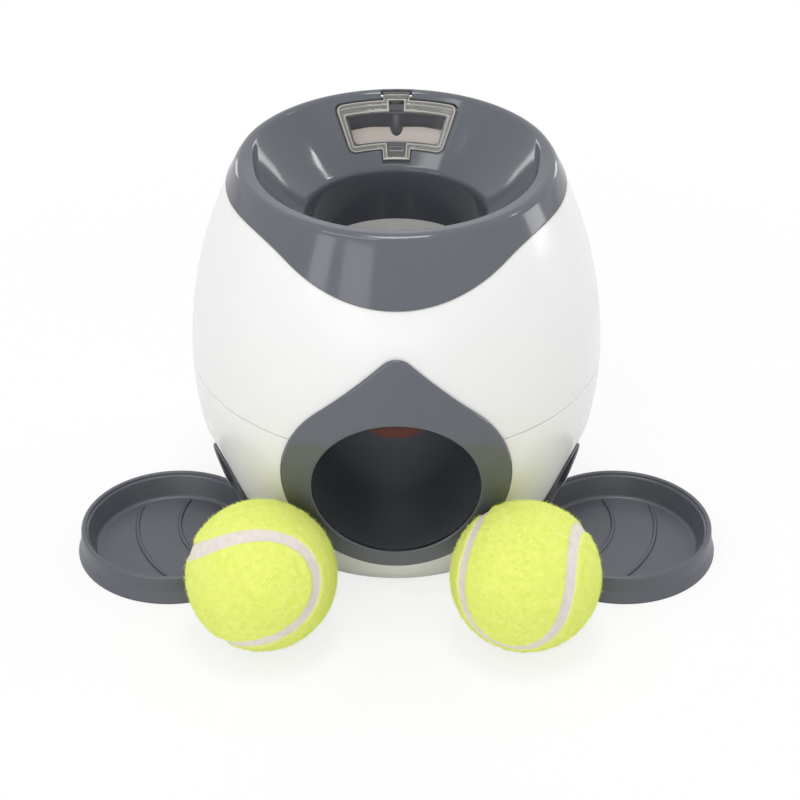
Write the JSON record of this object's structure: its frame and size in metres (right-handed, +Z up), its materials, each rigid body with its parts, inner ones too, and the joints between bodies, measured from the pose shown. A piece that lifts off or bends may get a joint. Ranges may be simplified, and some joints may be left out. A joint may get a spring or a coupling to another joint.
{
  "type": "ball drop and treat dispenser for dogs",
  "caption": "Barrel-shaped dog toy: a ball dropped in the funnel rolls out at the front and swings a flap that meters treats down side ducts into round trays. Loose felt balls.",
  "frame": {"origin": "on the floor, at the barrel's axis, in the resting face of the rubber ring", "axes": "+Z up, the ball outlet faces -Y, +X to the right seen from the front and along the two trays"},
  "size_m": [0.2882, 0.2287, 0.1775],
  "materials": {
    "white_shell": "glossy moulded",
    "white_inner": "satin moulded",
    "dark_plastic": "glossy moulded, blue-grey",
    "smoky_clear": "smoky clear plastic",
    "cream_plastic": "satin moulded",
    "orange_plastic": "glossy moulded",
    "grip_rubber": "matte",
    "ball_rubber": "matte",
    "yellow_felt": "napped felt",
    "steel": "drawn"
  },
  "bodies": {
    "housing": {"upper_shell": "white_shell", "lower_shell": "white_shell", "base_plate": "white_inner", "grip_ring": "grip_rubber", "hopper": "dark_plastic", "lid_hinge_pin": "steel", "front_mask": "dark_plastic", "ball_chute": "dark_plastic", "drop_tube": "white_inner", "treat_bin": "cream_plastic", "treat_duct_left": "white_inner", "treat_duct_right": "white_inner", "side_bezel_left": "dark_plastic", "side_bezel_right": "dark_plastic", "shaft_bush_left": "white_inner", "shaft_bush_right": "white_inner", "base_screws": "steel", "duct_screws": "steel", "chute_screws": "steel", "shell_screws": "steel", "hopper_screws": "steel", "bin_screws": "steel"},
    "lid": {"treat_lid": "smoky_clear"},
    "trigger": {"trigger_flap": "orange_plastic", "trigger_shaft": "steel", "metering_rotor_left": "orange_plastic", "metering_rotor_right": "orange_plastic", "shaft_clips": "steel"},
    "tray_left": {"tray_left": "dark_plastic"},
    "tray_right": {"tray_right": "dark_plastic"},
    "ball_left": {"ball_core_left": "ball_rubber", "ball_felt_left": "yellow_felt"},
    "ball_right": {"ball_core_right": "ball_rubber", "ball_felt_right": "yellow_felt"}
  },
  "joints": [
    {"name": "lid_hinge", "type": "hinge", "parent": "housing", "child": "lid", "pos_m": [0, 0.0642, 0.17488], "axis": [-1, 0, 0], "range_deg": [0, 110]},
    {"name": "trigger_swing", "type": "hinge", "parent": "housing", "child": "trigger", "pos_m": [0, -0.045, 0.106], "axis": [-1, 0, 0], "range_deg": [-5, 76]},
    {"name": "tray_left_pull", "type": "slide", "parent": "housing", "child": "tray_left", "axis": [-0.9311, -0.3649, 0], "range_m": [0, 0.03]},
    {"name": "tray_right_pull", "type": "slide", "parent": "housing", "child": "tray_right", "axis": [0.9311, -0.3649, 0], "range_m": [0, 0.03]},
    {"name": "ball_left_away", "type": "slide", "parent": "housing", "child": "ball_left", "axis": [0, -1, 0], "range_m": [0, 0.1]},
    {"name": "ball_right_away", "type": "slide", "parent": "housing", "child": "ball_right", "axis": [0, -1, 0], "range_m": [0, 0.1]}
  ]
}
